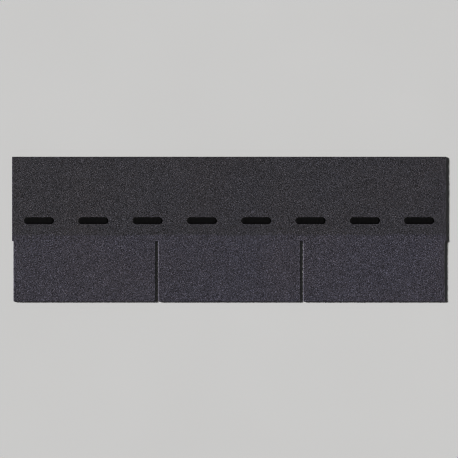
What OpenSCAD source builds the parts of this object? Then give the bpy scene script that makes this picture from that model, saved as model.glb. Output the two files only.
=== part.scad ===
// Three-tab asphalt strip shingle, one unit, lying flat with its weather side up.
// Origin: centre of the outline, on the underside. +X runs along the strip,
// +Y points up the roof slope, to the covered top edge, and +Z out of the weather side.

/* [Strip] */
// Length of the strip, along the course
strip_length = 914.4; // [900:0.1:1010]
// Height of the strip, from butt edge to top edge
strip_height = 304.8; // [300:0.1:340]
// Thickness of the strip, granules included
strip_thickness = 3.0; // [2.2:0.1:5]

/* [Cutouts] */
// Number of tabs
tab_count = 3; // [2:1:5]
// Height of the tabs, which is also the exposure to the weather
tab_height = 127; // [115:0.5:145]
// Width of the cutout between two tabs
cutout_width = 6.35; // [5:0.05:13]

/* [Sealant] */
// Number of sealant dashes along the strip
dash_count = 8; // [4:1:12]
// Length of one dash
dash_length = 63.5; // [30:0.5:70]
// Width of one dash, up the slope
dash_width = 16; // [10:0.5:25]
// Height of a dash above the granules
dash_rise = 0.6; // [0.4:0.1:1.2]
// Distance from the top of the cutouts to the near side of the dashes
dash_setback = 35; // [20:0.5:45]

/* [Hidden] */
butt_y = -strip_height / 2;
top_y = strip_height / 2;
left_x = -strip_length / 2;
tab_pitch = strip_length / tab_count;
cutout_top_y = butt_y + tab_height;
dash_pitch = strip_length / dash_count;
dash_y = cutout_top_y + dash_setback + dash_width / 2;
over = 5; // how far a cut runs past the face it opens through

// A cutout centred on x, open at the butt edge. At the strip's ends only half of
// it lies over the strip, so two strips laid end to end leave one full cutout.
module cutout(x) {
    translate([x - cutout_width / 2, butt_y - over, -over])
        cube([cutout_width, tab_height + over, strip_thickness + 2 * over]);
}

// One sheet: the tabs hang from the uncut headlap.
module shingle_strip() {
    color([0.235, 0.229, 0.256])
        difference() {
            translate([left_x, butt_y, 0])
                cube([strip_length, strip_height, strip_thickness]);
            for (i = [0 : tab_count])
                cutout(left_x + i * tab_pitch);
        }
}

// One dash of sealant: a straight bead with round ends and a flat top.
module dash(x) {
    reach = (dash_length - dash_width) / 2;
    translate([x, dash_y, strip_thickness])
        linear_extrude(dash_rise)
            union() {
                square([2 * reach, dash_width], center = true);
                for (side = [-1, 1])
                    translate([side * reach, 0])
                        circle(d = dash_width, $fn = 48);
            }
}

// The dashed line of sealant that the next course's tabs bond to.
module sealant_dashes() {
    color([0.03, 0.03, 0.03])
        for (i = [0 : dash_count - 1])
            dash(left_x + (i + 0.5) * dash_pitch);
}

shingle_strip();
sealant_dashes();
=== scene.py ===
"""Looks for one three-tab asphalt strip shingle, lying flat, weather side up."""

import math

import bpy
import numpy as np
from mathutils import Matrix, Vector


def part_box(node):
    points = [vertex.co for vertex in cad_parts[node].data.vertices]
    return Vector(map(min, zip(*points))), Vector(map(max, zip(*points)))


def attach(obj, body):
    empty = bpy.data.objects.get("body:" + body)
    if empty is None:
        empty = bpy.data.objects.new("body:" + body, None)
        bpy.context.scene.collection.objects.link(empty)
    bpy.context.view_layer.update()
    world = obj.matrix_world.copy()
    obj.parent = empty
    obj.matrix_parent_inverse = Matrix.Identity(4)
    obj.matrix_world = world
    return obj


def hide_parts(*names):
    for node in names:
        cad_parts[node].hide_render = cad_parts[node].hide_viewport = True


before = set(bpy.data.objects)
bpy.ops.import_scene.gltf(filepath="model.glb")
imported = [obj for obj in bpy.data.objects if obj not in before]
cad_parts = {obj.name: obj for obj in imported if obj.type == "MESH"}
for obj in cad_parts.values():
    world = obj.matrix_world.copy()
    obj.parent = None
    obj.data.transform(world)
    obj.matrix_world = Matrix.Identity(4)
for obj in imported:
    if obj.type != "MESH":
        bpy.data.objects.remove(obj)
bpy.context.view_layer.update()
MM = 0.001

# ---------------------------------------------------------------- the frame's own sizes
strip_low, strip_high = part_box("shingle_strip")
_co = np.array([v.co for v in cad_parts["shingle_strip"].data.vertices], float) / MM


def levels(values):
    """The distinct coordinates of a prismatic solid's corners, in millimetres."""
    return sorted({round(float(x), 2) for x in values})


XS, YS = levels(_co[:, 0]), levels(_co[:, 1])
if len(XS) != 8 or len(YS) != 3:  # meshed with points along its straight edges: take the corners' nominal places
    XS = [-457.2, -454.02, -155.58, -149.22, 149.22, 155.58, 454.02, 457.2]
    YS = [-152.4, -25.4, 152.4]
LEFT, RIGHT, BUTT, CUT_TOP, TOP = XS[0], XS[-1], YS[0], YS[1], YS[-1]
TABS = [(XS[i], XS[i + 1]) for i in range(1, len(XS) - 1, 2)]  # each tab's left and right edge
THICK = strip_high.z / MM
GRIT = THICK - 0.64  # the asphalt's level between the granules
INSET = 0.06  # the granules stop this far inside the cut edge


def rng(seed):
    return np.random.default_rng(seed)


# ---------------------------------------------------------------- the strip's outline
def cutouts():
    """Left and right edge of each cutout, with the halves at the strip's ends."""
    ends = [LEFT - 9] + [e for t in TABS for e in t] + [RIGHT + 9]
    return list(zip(ends[0::2], ends[1::2]))


def inside(x, y, margin):
    """Which points lie inside the strip's outline, or less than margin mm outside it."""
    ok = (x > LEFT - margin) & (x < RIGHT + margin) & (y > BUTT - margin) & (y < TOP + margin)
    for a, b in cutouts():
        ok &= ~((x > a + margin) & (x < b - margin) & (y < CUT_TOP - margin))
    return ok


def edge_distance(x, y):
    """How far a point inside lies from the nearest cut edge, in mm."""
    d = np.minimum.reduce([x - LEFT, RIGHT - x, TOP - y, y - BUTT])
    for a, b in cutouts():
        dx = np.maximum(a - x, x - b)
        d = np.minimum(d, np.hypot(np.maximum(dx, 0), np.maximum(y - CUT_TOP, 0)))
    return np.maximum(d, 0)


def left_edge_distance(x, y):
    """How far a point lies to the right of the nearest edge that faces left."""
    d = np.where(y >= CUT_TOP, x - LEFT, 99.0)
    for _, b in cutouts()[:-1]:
        d = np.where((y < CUT_TOP) & (x > b - 1), np.minimum(d, x - b), d)
    return np.maximum(d, 0)


def pressed(s, room=0.32):
    """A distance past an edge, below 0 inside, squeezed so that nothing lies past the edge and no two points meet."""
    return np.where(s > -room, -room * np.exp(-(np.maximum(s, -room) + room) / room), s)


def pressed_inside(x, y):
    """Points near or past the outline, moved inside it, square to the nearest edge."""
    x = np.where(x > 0, RIGHT - INSET + pressed(x - RIGHT + INSET), x)
    x = np.where(x < 0, LEFT + INSET - pressed(LEFT + INSET - x), x)
    y = np.where(y > 0, TOP - INSET + pressed(y - TOP + INSET), y)
    y = np.where(y < 0, BUTT + INSET - pressed(BUTT + INSET - y), y)
    for a, b in cutouts():
        mid, half = (a + b) / 2, (b - a) / 2 + INSET
        sign = np.where(x < mid, 1.0, -1.0)
        dx = half - np.abs(x - mid)  # above 0 between the cutout's sides
        dy = CUT_TOP + INSET - y  # above 0 below its end
        sideways = (dy > 0) & ((dx <= 0) | (dx <= dy))
        upwards = (dx > 0) & ~sideways
        x = np.where(sideways, mid + sign * (pressed(dx) - half), x)
        y = np.where(upwards, CUT_TOP + INSET - pressed(dy), y)
    return x, y


# ---------------------------------------------------------------- small helpers
def smooth(t):
    t = np.clip(t, 0, 1)
    return t * t * (3 - 2 * t)


def lattice_noise(x, y, size, seed):
    """Smooth noise from 0 to 1 with features of about size mm."""
    r = rng(seed)
    nx, ny = int((RIGHT - LEFT + 40) / size) + 4, int((TOP - BUTT + 40) / size) + 4
    table = r.random((ny, nx))
    u, v = (x - LEFT + 20) / size, (y - BUTT + 20) / size
    i, j = np.clip(u.astype(int), 0, nx - 2), np.clip(v.astype(int), 0, ny - 2)
    a, b = smooth(u - i), smooth(v - j)
    return (table[j, i] * (1 - a) + table[j, i + 1] * a) * (1 - b) + (
        table[j + 1, i] * (1 - a) + table[j + 1, i + 1] * a
    ) * b


def mesh_from(name, verts_mm, faces, materials, smooth_shade=False):
    """A mesh object from arrays: verts in mm, faces a list of tuples or an n x 3 array."""
    me = bpy.data.meshes.new(name)
    if isinstance(faces, np.ndarray):
        me.vertices.add(len(verts_mm))
        me.vertices.foreach_set("co", (np.asarray(verts_mm) * MM).astype(np.float32).ravel())
        n, k = faces.shape
        me.loops.add(n * k)
        me.loops.foreach_set("vertex_index", faces.astype(np.int32).ravel())
        me.polygons.add(n)
        me.polygons.foreach_set("loop_start", np.arange(0, n * k, k, dtype=np.int32))
        me.update(calc_edges=True)
    else:
        me.from_pydata([tuple(np.array(v) * MM) for v in verts_mm], [], faces)
    me.validate()
    for m in materials:
        me.materials.append(m)
    me.polygons.foreach_set("use_smooth", np.full(len(me.polygons), smooth_shade))
    ob = bpy.data.objects.new(name, me)
    bpy.context.scene.collection.objects.link(ob)
    return ob


# ---------------------------------------------------------------- materials
class Nodes:
    def __init__(self, name):
        self.mat = bpy.data.materials.new(name)
        self.mat.use_nodes = True
        self.nt = self.mat.node_tree
        self.nt.nodes.clear()
        self.out = self.nt.nodes.new("ShaderNodeOutputMaterial")
        self.bsdf = self.nt.nodes.new("ShaderNodeBsdfPrincipled")
        self.nt.links.new(self.bsdf.outputs[0], self.out.inputs[0])
        self.coord = self.nt.nodes.new("ShaderNodeTexCoord").outputs["Object"]

    def new(self, kind, **settings):
        n = self.nt.nodes.new(kind)
        for k, v in settings.items():
            setattr(n, k, v)
        return n

    def link(self, a, b):
        self.nt.links.new(a, b)

    def noise(self, scale, detail=2.0, rough=0.5, stretch=None):
        n = self.new("ShaderNodeTexNoise")
        n.inputs["Scale"].default_value = scale
        n.inputs["Detail"].default_value = detail
        n.inputs["Roughness"].default_value = rough
        if stretch:
            m = self.new("ShaderNodeMapping")
            m.inputs["Scale"].default_value = stretch
            self.link(self.coord, m.inputs["Vector"])
            self.link(m.outputs[0], n.inputs["Vector"])
        else:
            self.link(self.coord, n.inputs["Vector"])
        return n.outputs["Fac"]

    def voronoi(self, scale, feature="F1", out="Distance"):
        n = self.new("ShaderNodeTexVoronoi", feature=feature)
        n.inputs["Scale"].default_value = scale
        self.link(self.coord, n.inputs["Vector"])
        return n.outputs[out]

    def attribute(self, name):
        n = self.new("ShaderNodeAttribute", attribute_name=name)
        return n.outputs["Fac"]

    def ramp(self, fac, stops, interpolation="LINEAR"):
        n = self.new("ShaderNodeValToRGB")
        n.color_ramp.interpolation = interpolation
        el = n.color_ramp.elements
        while len(el) > 1:
            el.remove(el[-1])
        el[0].position, el[0].color = stops[0][0], (*stops[0][1], 1)
        for p, c in stops[1:]:
            e = el.new(p)
            e.color = (*c, 1)
        self.link(fac, n.inputs[0])
        return n.outputs[0]

    def math(self, op, a, b=None, clamp=False):
        n = self.new("ShaderNodeMath", operation=op, use_clamp=clamp)
        for i, x in enumerate((a, b)):
            if x is None:
                continue
            if isinstance(x, (int, float)):
                n.inputs[i].default_value = x
            else:
                self.link(x, n.inputs[i])
        return n.outputs[0]

    def span(self, x, a, b, c, d):
        n = self.new("ShaderNodeMapRange")
        n.clamp = True
        for i, v in zip((1, 2, 3, 4), (a, b, c, d)):
            n.inputs[i].default_value = v
        self.link(x, n.inputs[0])
        return n.outputs[0]

    def mix(self, fac, a, b, blend="MIX"):
        n = self.new("ShaderNodeMix", data_type="RGBA", blend_type=blend)
        n.clamp_result = False
        ins = [n.inputs[0], n.inputs[6], n.inputs[7]]
        for s, x in zip(ins, (fac, a, b)):
            if isinstance(x, (int, float)):
                s.default_value = x
            elif isinstance(x, tuple):
                s.default_value = (*x, 1)
            else:
                self.link(x, s)
        return n.outputs[2]

    def bump(self, height, distance, strength=1.0, below=None):
        n = self.new("ShaderNodeBump")
        n.inputs["Strength"].default_value = strength
        n.inputs["Distance"].default_value = distance
        self.link(height, n.inputs["Height"])
        if below is not None:
            self.link(below, n.inputs["Normal"])
        return n.outputs[0]

    def done(self, color, roughness, normal=None, **constants):
        self.link(color, self.bsdf.inputs["Base Color"])
        self.link(roughness, self.bsdf.inputs["Roughness"])
        if normal is not None:
            self.link(normal, self.bsdf.inputs["Normal"])
        for k, v in constants.items():
            self.bsdf.inputs[k.replace("_", " ")].default_value = v
        return self.mat


def granule_material():
    """Crushed, coated stone. Each granule has a tone of its own, and asphalt shows black between them. Near the cut
    edges that face left, stones and gaps are made paler, a painted highlight.
    """
    n = Nodes("mineral_granules")
    tone, head = n.attribute("tone"), n.attribute("head")
    body = n.mix(head, n.ramp(tone, stops_of(TAB_COLOR)), n.ramp(tone, stops_of(HEAD_COLOR)))
    # coated stones lean to blue or to brown, a little
    body = n.mix(1.0, body, n.ramp(n.attribute("cast"), [(0.0, (1.07, 0.99, 0.92)), (0.5, (1.0, 1.0, 1.0)), (1.0, (0.95, 1.0, 1.07))]), "MULTIPLY")
    # one stone isn't one flat colour: faint mineral grain inside it
    grain = n.noise(3800.0, 3.0, 0.6)
    body = n.mix(1.0, body, n.ramp(grain, [(0.25, (0.80, 0.80, 0.80)), (0.75, (1.22, 1.22, 1.22))]), "MULTIPLY")
    # slow mottling from how evenly the granules fell, drawn out along the strip
    cloud = n.noise(26.0, 3.0, 0.55, (0.55, 1.0, 1.0))
    body = n.mix(1.0, body, n.ramp(cloud, [(0.3, (0.94,) * 3), (0.7, (1.06,) * 3)]), "MULTIPLY")
    # black asphalt between the stones, darker in deeper gaps; on the rims that face left the gaps were faded, a painted
    # highlight
    gap = n.span(n.attribute("depth"), 0.25, 0.85, 0.0, 1.0)
    color = n.mix(gap, body, (0.005, 0.005, 0.0053))
    rough = n.span(tone, 0.0, 1.0, 0.84, 0.66)
    rough = n.math("ADD", rough, n.span(grain, 0.3, 0.7, -0.06, 0.06))
    normal = n.bump(grain, 0.00009, 0.55)
    return n.done(color, rough, normal, Specular_IOR_Level=SPEC)


def stops_of(color):
    """From the darkest stones of the blend to the few light ones, about a mean colour."""
    return [(p, tuple(c * k for c in color)) for p, k in BLEND]


def asphalt_edge_material():
    n = Nodes("cut_asphalt_edge")
    clump = n.noise(900.0, 4.0, 0.6)
    fibre = n.noise(240.0, 3.0, 0.7, (1.0, 1.0, 9.0))
    color = n.ramp(clump, [(0.25, (0.0055, 0.0055, 0.0057)), (0.6, (0.0125, 0.0122, 0.0122)), (0.82, (0.040, 0.038, 0.036))])
    color = n.mix(n.span(fibre, 0.60, 0.74, 0.0, 0.45), color, (0.075, 0.071, 0.064))
    rough = n.span(clump, 0.3, 0.7, 0.55, 0.85)
    normal = n.bump(clump, 0.00025, 0.8)
    return n.done(color, rough, normal, Specular_IOR_Level=0.4)


def sanded_back_material():
    n = Nodes("sanded_underside")
    sand = n.voronoi(2600.0, "F1", "Color")
    sand_d = n.voronoi(2600.0, "F1", "Distance")
    cloud = n.noise(14.0, 4.0, 0.6, (0.5, 1.0, 1.0))
    base = n.ramp(cloud, [(0.3, (0.030, 0.029, 0.028)), (0.7, (0.052, 0.050, 0.047))])
    split = n.new("ShaderNodeSeparateColor")
    n.link(sand, split.inputs[0])
    grain = n.span(split.outputs[0], 0.62, 1.0, 0.0, 0.75)
    color = n.mix(grain, base, (0.17, 0.155, 0.135))
    rough = n.span(sand_d, 0.0, 0.6, 0.72, 0.92)
    normal = n.bump(sand_d, 0.00012, 0.6)
    return n.done(color, rough, normal, Specular_IOR_Level=0.35)


def sealant_material():
    n = Nodes("sealant_asphalt")
    ripple = n.noise(120.0, 3.0, 0.55)
    fine = n.noise(1500.0, 3.0, 0.6)
    color = n.ramp(fine, [(0.35, (0.0022, 0.0022, 0.0024)), (0.7, (0.0064, 0.0062, 0.0063))])
    rough = n.math("ADD", n.span(ripple, 0.3, 0.7, 0.62, 0.82), n.span(fine, 0.4, 0.75, 0.0, 0.12))
    normal = n.bump(ripple, 0.0010, 0.6)
    normal = n.bump(fine, 0.00009, 0.6, normal)
    return n.done(color, rough, normal, Specular_IOR_Level=0.022)


# The tabs' granules: charcoal with a violet cast. The covered headlap's: darker, more neutral.
TAB_COLOR = (0.0665, 0.0625, 0.0832)
HEAD_COLOR = (0.0524, 0.0496, 0.0592)
BLEND = [(0.0, 0.25), (0.08, 0.41), (0.2, 0.60), (0.4, 0.84), (0.6, 1.04), (0.8, 1.30), (0.93, 1.69), (1.0, 2.67)]
SPEC = 0.17
granules_mat = granule_material()
edge_asphalt = asphalt_edge_material()
sanded_back = sanded_back_material()
sealant_mat = sealant_material()

# ---------------------------------------------------------------- the granules
PITCH = 1.48  # mean size of a granule, mm


def build_granules():
    a = PITCH
    rowh = a * math.sqrt(3) / 2
    ni, nj = int((RIGHT - LEFT) / a) + 8, int((TOP - BUTT) / rowh) + 8
    r = rng(41)
    jj, ii = np.mgrid[0:nj, 0:ni]
    sx = LEFT + (ii - 3.5) * a + (jj % 2) * a / 2
    sy = BUTT + (jj - 3.5) * rowh
    sx = sx + r.uniform(-1, 1, sx.shape) * 0.30 * a
    sy = sy + r.uniform(-1, 1, sy.shape) * 0.30 * a

    par = jj % 2
    # corner points: u over seeds (i,j),(i+1,j) and the one above, d with the one below
    i1 = np.minimum(ii + 1, ni - 1)
    ia = np.minimum(ii + par, ni - 1)
    ja, jb = np.minimum(jj + 1, nj - 1), np.maximum(jj - 1, 0)

    def centre(i2, j2):
        x = (sx + sx[jj, i1] + sx[j2, i2]) / 3
        y = (sy + sy[jj, i1] + sy[j2, i2]) / 3
        return (
            x + r.uniform(-1, 1, x.shape) * 0.11 * a,
            y + r.uniform(-1, 1, y.shape) * 0.11 * a,
        )

    ux, uy = centre(ia, ja)
    dx, dy = centre(ia, jb)
    n = ni * nj
    # the stone's peak doesn't sit over its middle
    tx = sx + r.uniform(-1, 1, sx.shape) * 0.20 * a
    ty = sy + r.uniform(-1, 1, sy.shape) * 0.20 * a
    x = np.concatenate([tx.ravel(), ux.ravel(), dx.ravel()])
    y = np.concatenate([ty.ravel(), uy.ravel(), dy.ravel()])

    # heights: proud stones, sunk stones and gaps of unlike depth
    lift = r.beta(2.2, 1.6, n)
    sunk = r.random(n) < 0.10
    z_top = GRIT + 0.16 + 0.50 * lift - np.where(sunk, 0.20, 0)
    z_gap = GRIT + r.beta(1.5, 2.6, 2 * n) * 0.32
    z = np.concatenate([z_top, z_gap])
    depth = np.concatenate([np.zeros(n), 1.0 - 0.95 * np.clip((z_gap - GRIT) / 0.32, 0, 1)])

    def seed(i, j):
        return j * ni + i

    def u(i, j):
        return n + j * ni + i

    def d(i, j):
        return 2 * n + j * ni + i

    inner = (ii > 1) & (ii < ni - 2) & (jj > 1) & (jj < nj - 2)
    keep = inner & inside(sx, sy, 0.10 * a)
    ci, cj = ii[keep], jj[keep]
    cp = cj % 2
    ring = np.stack(
        [
            u(ci, cj),
            d(ci - 1 + cp, cj + 1),
            u(ci - 1, cj),
            d(ci - 1, cj),
            u(ci - 1 + cp, cj - 1),
            d(ci, cj),
        ],
        1,
    )
    top = seed(ci, cj)
    tris = np.stack(
        [np.stack([top, ring[:, k], ring[:, (k + 1) % 6]], 1) for k in range(6)], 1
    )  # cell, facet, corner

    # cut the stones off at the strip's edge
    x, y = pressed_inside(x, y)

    # stones on the cut itself are sheared through, so there the layer keeps nearly its full height
    sheared = edge_distance(x, y) < 0.40
    z = np.where(sheared, np.maximum(z, GRIT + r.uniform(0.12, 0.50, 3 * n)), z)
    depth = np.where(sheared, 0.3 * depth, depth)
    # the shears press the sheet's rim down; the side that the blade comes in on is rounded more
    wob = lattice_noise(x, y, 2.2, 7)
    z = z - (1 - smooth(edge_distance(x, y) / 1.4)) * (0.10 + 0.14 * wob)
    lean = 1 - smooth(left_edge_distance(x, y) / 2.0)
    z = z - lean * (0.50 + 0.16 * wob)
    # painted highlight: on the rim that faces left the black between the stones is faded out, so that rim reads
    # lighter, as if lit from the left
    depth = depth * (1 - 0.85 * lean)
    return x, y, z, depth, tris, (ci, cj), sx, sy, n


gx, gy, gz, gdepth, gtris, (gi, gj), gsx, gsy, gn = build_granules()
print("granules", len(gtris))


def zone_of(x, y):
    """0 to 2 for the tabs from the left, 3 to 5 for the headlap's thirds."""
    third = np.clip(((x - LEFT) / (RIGHT - LEFT) * 3).astype(int), 0, 2)
    return np.where(y < CUT_TOP, third, third + 3)


def granule_piece(name, zone):
    cells = np.nonzero(zone_of(gsx[gj, gi], gsy[gj, gi]) == zone)[0]
    t = gtris[cells].reshape(-1, 3)
    used, flat = np.unique(t, return_inverse=True)
    t = flat.reshape(-1, 3)
    v = np.stack([gx[used], gy[used], gz[used]], 1)
    depth = gdepth[used]

    # close the layer: a skirt below its outline, and an underside that fans out from the middle
    e = np.concatenate([t[:, [0, 1]], t[:, [1, 2]], t[:, [2, 0]]])
    key = np.sort(e, 1)
    _, first, count = np.unique(key[:, 0] * len(v) + key[:, 1], return_index=True, return_counts=True)
    rim = e[first[count == 1]]
    rim_verts = np.unique(rim)
    lower = np.full(len(v), -1)
    lower[rim_verts] = len(v) + np.arange(len(rim_verts))
    low = v[rim_verts].copy()
    low[:, 2] = BED
    middle = len(v) + len(low)
    v = np.concatenate([v, low, [[*v[:, :2].mean(0), BED]]])
    a, b = rim[:, 0], rim[:, 1]
    hidden = np.concatenate(
        [
            np.stack([b, a, lower[a]], 1),
            np.stack([b, lower[a], lower[b]], 1),
            np.stack([lower[b], lower[a], np.full(len(a), middle)], 1),
        ]
    )
    top_faces = len(t)
    ob = mesh_from(name, v, np.concatenate([t, hidden]), [granules_mat], SMOOTH_GRANULES)
    me = ob.data
    assert len(me.polygons) == top_faces + len(hidden), name
    for label, domain, values in (
        ("tone", "FACE", np.concatenate([np.repeat(tones[cells], 6), np.zeros(len(hidden))])),
        ("head", "FACE", np.concatenate([np.repeat(heads[cells], 6), np.zeros(len(hidden))])),
        ("cast", "FACE", np.concatenate([np.repeat(casts[cells], 6), np.full(len(hidden), 0.5)])),
        ("depth", "POINT", np.concatenate([depth, np.ones(len(low) + 1)])),
    ):
        me.attributes.new(label, "FLOAT", domain).data.foreach_set("value", values.astype(np.float32))

    # a map seen from above for the stones, with the hidden faces in a band of their own
    co = v[np.concatenate([t, hidden]).ravel()]
    lo, hi = v.min(0), v.max(0)
    uv = 0.004 + 0.992 * (co[:, :2] - lo[:2]) / (hi[:2] - lo[:2])
    uv[:, 1] *= 0.965
    tail = top_faces * 3
    uv[tail:, 1] = 0.975 + 0.012 * uv[tail:, 1] + 0.008 * (co[tail:, 2] - 1.0) / 2.5
    layer = me.uv_layers.new(name="OFBake", do_init=False)
    layer.uv.foreach_set("vector", uv.astype(np.float32).ravel())
    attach(ob, "root")
    return ob


SMOOTH_GRANULES = False
BED = 1.44  # the granule layer's hidden underside, just inside the sheet
_cx, _cy = gsx[gj, gi], gsy[gj, gi]
tones = rng(77).random(len(gtris))
# stones that the shears broke show paler faces at every cut edge; on the edges that face left they are paled further, a
# painted highlight of light from the left
broken_and_lit_edges = 0.30 * (1 - smooth(edge_distance(_cx, _cy) / 2.0)) + 0.33 * (1 - smooth(left_edge_distance(_cx, _cy) / 2.4))
tones = 1 - (1 - tones) * (1 - broken_and_lit_edges)
# coated stones lean to blue or to brown, and more so in some stretches than in others
casts = np.clip(rng(78).beta(2.5, 2.5, len(gtris)) + 0.35 * (lattice_noise(_cx, _cy, 85.0, 32) - 0.5), 0, 1)
# the colour blend runs a little way past the cutouts, and its last stones are strewn among the headlap's
heads = (
    _cy + 5.0 * (lattice_noise(_cx, _cy, 60.0, 31) - 0.5) + rng(79).normal(0, 1.7, len(gtris)) > CUT_TOP + 13.0
).astype(float)
ZONES = ["tab_left", "tab_middle", "tab_right", "headlap_left", "headlap_middle", "headlap_right"]
granules = [granule_piece("granules_" + z, k) for k, z in enumerate(ZONES)]

# ---------------------------------------------------------------- the sheet under the granules
def outline(step):
    """Points round the strip's outline, counterclockwise from above, and the inward direction at each."""
    corners = []
    for a, b in TABS:
        corners += [(a, CUT_TOP), (a, BUTT), (b, BUTT), (b, CUT_TOP)]
    corners += [(RIGHT, CUT_TOP), (RIGHT, TOP), (LEFT, TOP), (LEFT, CUT_TOP)]
    pts, inward = [], []
    m = len(corners)
    for k in range(m):
        p, q = np.array(corners[k], float), np.array(corners[(k + 1) % m], float)
        o = np.array(corners[k - 1], float)
        d, before = (q - p) / np.linalg.norm(q - p), (p - o) / np.linalg.norm(p - o)
        side, side_before = np.array([-d[1], d[0]]), np.array([-before[1], before[0]])
        count = max(2, int(round(np.linalg.norm(q - p) / step)))
        for i in range(count):
            pts.append(p + (q - p) * i / count)
            inward.append(side + side_before if i == 0 else side)
    return np.array(pts), np.array(inward)


def build_sheet():
    pts, inward = outline(1.25)
    m = len(pts)
    r = rng(5)
    rings = [  # height, distance inside the outline, roughness of the cut
        (0.00, 0.26, 0.05),
        (0.14, 0.06, 0.08),
        (0.48, 0.02, 0.12),
        (0.82, 0.02, 0.17),
        (1.10, 0.02, 0.15),
        (1.34, 0.03, 0.13),
        (1.50, 0.05, 0.08),
    ]
    slow = np.interp(np.arange(m), np.arange(0, m + 7, 7), r.random(m // 7 + 2)[: len(np.arange(0, m + 7, 7))])
    verts = []
    for z, inset, rough in rings:
        off = inset + rough * (0.6 * r.random(m) + 0.8 * slow)
        p = pts + inward * off[:, None]
        zz = np.full(m, z) + (r.uniform(-0.05, 0.05, m) if 0 < z < 1.4 else 0)
        verts.append(np.column_stack([p, zz]))
    verts = np.concatenate(verts)
    faces = []
    for k in range(len(rings) - 1):
        for i in range(m):
            j = (i + 1) % m
            faces.append((k * m + i, k * m + j, (k + 1) * m + j, (k + 1) * m + i))
    last = (len(rings) - 1) * m
    faces.append(tuple(range(last, last + m)))
    faces.append(tuple(reversed(range(m))))
    ob = mesh_from("asphalt_sheet", verts, faces, [edge_asphalt, sanded_back])
    me = ob.data
    me.polygons[len(me.polygons) - 1].material_index = 1
    import bmesh

    bm = bmesh.new()
    bm.from_mesh(me)
    bmesh.ops.triangulate(bm, faces=[f for f in bm.faces if len(f.verts) > 4])
    bm.to_mesh(me)
    bm.free()
    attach(ob, "root")
    return ob


sheet = build_sheet()
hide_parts("shingle_strip")

# ---------------------------------------------------------------- the sealant
def dash_spans():
    """Each dash's left and right end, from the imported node's separate solids, and the row's lower and upper edge."""
    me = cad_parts["sealant_dashes"].data
    co = np.array([v.co for v in me.vertices], float) / MM
    _, same = np.unique(np.round(co, 3), axis=0, return_inverse=True)
    same = same.ravel()
    parent = list(range(int(same.max()) + 1))

    def root(i):
        while parent[i] != i:
            parent[i] = parent[parent[i]]
            i = parent[i]
        return i

    for p in me.polygons:
        ids = [root(int(same[v])) for v in p.vertices]
        for k in ids[1:]:
            parent[root(k)] = root(ids[0])
    label = np.array([root(int(k)) for k in same])
    spans = sorted((co[label == k, 0].min(), co[label == k, 0].max()) for k in np.unique(label))
    return spans, co[:, 1].min(), co[:, 1].max()


def build_beads():
    spans, y0, y1 = dash_spans()
    seal_low, seal_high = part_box("sealant_dashes")
    top = seal_high.z / MM - 0.03
    half = (y1 - y0) / 2
    cy = (y0 + y1) / 2
    verts, faces = [], []
    r = rng(63)
    nu, nv = 84, 22
    for a, b in spans:
        # rows along the bead; the round ends are narrower sections
        reach = (b - a) / 2
        cx = (a + b) / 2
        base = len(verts)
        wave = r.random(4) * 6.28
        u = -np.cos(np.pi * np.arange(nu + 1) / nu)  # finer towards the ends
        xx = (u * reach)[:, None]
        t = np.linspace(-1, 1, nv + 1)[None, :]
        t = np.sign(t) * np.abs(t) ** 0.8
        over = np.maximum(0.0, np.abs(xx) - (reach - half))
        w = half * np.sqrt(np.maximum(0.0, 1 - (over / half) ** 2))
        w = np.maximum(w * (0.955 + 0.020 * np.sin(xx * 0.21 + wave[0]) + 0.010 * np.sin(xx * 0.9 + wave[1])), 0.02)
        # the hot asphalt ran between the stones at its rim
        run = lattice_noise(xx + 0 * t + cx, np.where(t > 0, 60.0, -60.0) + 0 * xx + cx * 0.1, 1.9, 64) - 0.5
        x = cx + xx + 0 * t
        y = cy + t * w + np.sign(t) * np.abs(t) ** 3 * 0.55 * run * np.minimum(1, w / 3)
        # crowned, sagging towards the ends, with the stones showing through as dimples
        dome = np.maximum(0, 1 - np.abs(t) ** 3.2) ** 0.6
        fall = 1 - 0.55 * smooth((np.abs(xx) - (reach - 3.5)) / 3.5)
        h = 0.05 + dome * (0.90 - 0.06 * np.sin(xx * 0.33 + wave[2]) ** 2 - 0.04 * (1 + np.sin(xx * 0.12 + wave[3])))
        z = GRIT + 0.02 + (top - GRIT - 0.02) * h * fall
        z = z + 0.11 * dome * (lattice_noise(x, y, 1.7, 65) - 0.55) + 0.08 * dome * (lattice_noise(x, y, 6.0, 66) - 0.5)
        z = np.minimum(z, top)
        verts += [tuple(q) for q in np.stack([x, y, z], -1).reshape(-1, 3)]
        for i in range(nu):
            for j in range(nv):
                p = base + i * (nv + 1) + j
                faces.append((p, p + nv + 1, p + nv + 2, p + 1))
        # flat underside, bedded between the granules
        k = len(verts)
        rim = (
            [base + j for j in range(nv + 1)]
            + [base + i * (nv + 1) + nv for i in range(1, nu + 1)]
            + [base + nu * (nv + 1) + j for j in range(nv - 1, -1, -1)]
            + [base + i * (nv + 1) for i in range(nu - 1, 0, -1)]
        )
        for q in rim:
            verts.append((verts[q][0], verts[q][1], GRIT - 0.15))
        m = len(rim)
        for i in range(m):
            j = (i + 1) % m
            faces.append((rim[i], rim[j], k + j, k + i))
        faces.append(tuple(k + i for i in range(m)))
    ob = mesh_from("sealant_beads", np.array(verts), faces, [sealant_mat], True)
    me = ob.data
    import bmesh

    bm = bmesh.new()
    bm.from_mesh(me)
    bmesh.ops.recalc_face_normals(bm, faces=bm.faces)
    bmesh.ops.triangulate(bm, faces=[f for f in bm.faces if len(f.verts) > 4])
    bm.to_mesh(me)
    bm.free()
    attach(ob, "root")
    return ob


beads = build_beads()
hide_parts("sealant_dashes")

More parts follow.
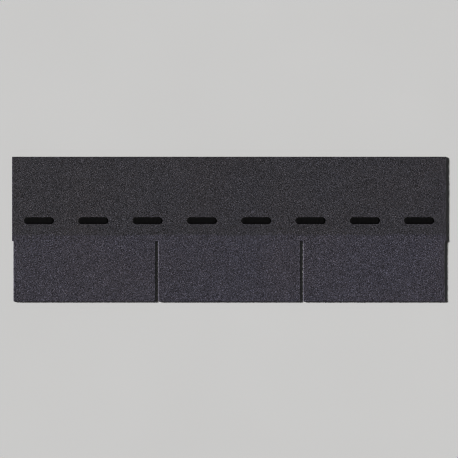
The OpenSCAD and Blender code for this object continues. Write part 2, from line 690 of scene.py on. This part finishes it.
# ---------------------------------------------------------------- studio
def floor_material():
    n = Nodes("pale_floor")
    c = n.ramp(n.noise(3.0, 2.0), [(0.3, (0.665, 0.665, 0.661)), (0.7, (0.680, 0.680, 0.677))])
    r = n.span(n.noise(40.0), 0.3, 0.7, 0.92, 1.0)
    return n.done(c, r, None, Specular_IOR_Level=0.0)


bpy.ops.mesh.primitive_plane_add(size=40, location=(0, 0, -0.00005))
floor = bpy.context.object
floor.name = "floor"
floor.data.materials.append(floor_material())

scene = bpy.context.scene
world = bpy.data.worlds.new("studio")
scene.world = world
world.use_nodes = True
bg = world.node_tree.nodes["Background"]
# a studio that is bright low down all round, like a white backdrop, and dim overhead
wn, wl = world.node_tree.nodes, world.node_tree.links
sky = wn.new("ShaderNodeTexCoord")
part = wn.new("ShaderNodeSeparateXYZ")
ramp = wn.new("ShaderNodeValToRGB")
ramp.color_ramp.interpolation = "EASE"
ramp.color_ramp.elements[0].position, ramp.color_ramp.elements[0].color = 0.05, (0.58, 0.581, 0.583, 1)
ramp.color_ramp.elements[1].position, ramp.color_ramp.elements[1].color = 0.45, (0.012, 0.0123, 0.013, 1)
wl.new(sky.outputs["Generated"], part.inputs[0])
wl.new(part.outputs[2], ramp.inputs[0])
wl.new(ramp.outputs[0], bg.inputs[0])
bg.inputs[1].default_value = 1.0


# one soft key, low from the upper left, as the shadows in the photograph lie
key = bpy.data.lights.new("key", "SUN")
key.energy, key.color, key.angle = 8.5, (1.0, 0.995, 0.985), math.radians(7)
lamp = bpy.data.objects.new("key", key)
scene.collection.objects.link(lamp)
lamp.location = (-4.6, 1.9, 1.6)
lamp.rotation_euler = (-lamp.location).to_track_quat("-Z", "Y").to_euler()

cam_data = bpy.data.cameras.new("camera")
cam = bpy.data.objects.new("camera", cam_data)
scene.collection.objects.link(cam)
scene.camera = cam
cam_data.sensor_width = 36
cam_data.lens = 90
FRAME_W = 0.965  # metres across the picture
cam.location = (0, 0, FRAME_W * 90 / 36)
cam.rotation_euler = (0, 0, 0)
cam_data.clip_start, cam_data.clip_end = 0.05, 60
scene.view_settings.view_transform = "Standard"
scene.cycles.filter_width = 1.1
scene.cycles.denoising_prefilter = "FAST"  # keeps the granules' own grain
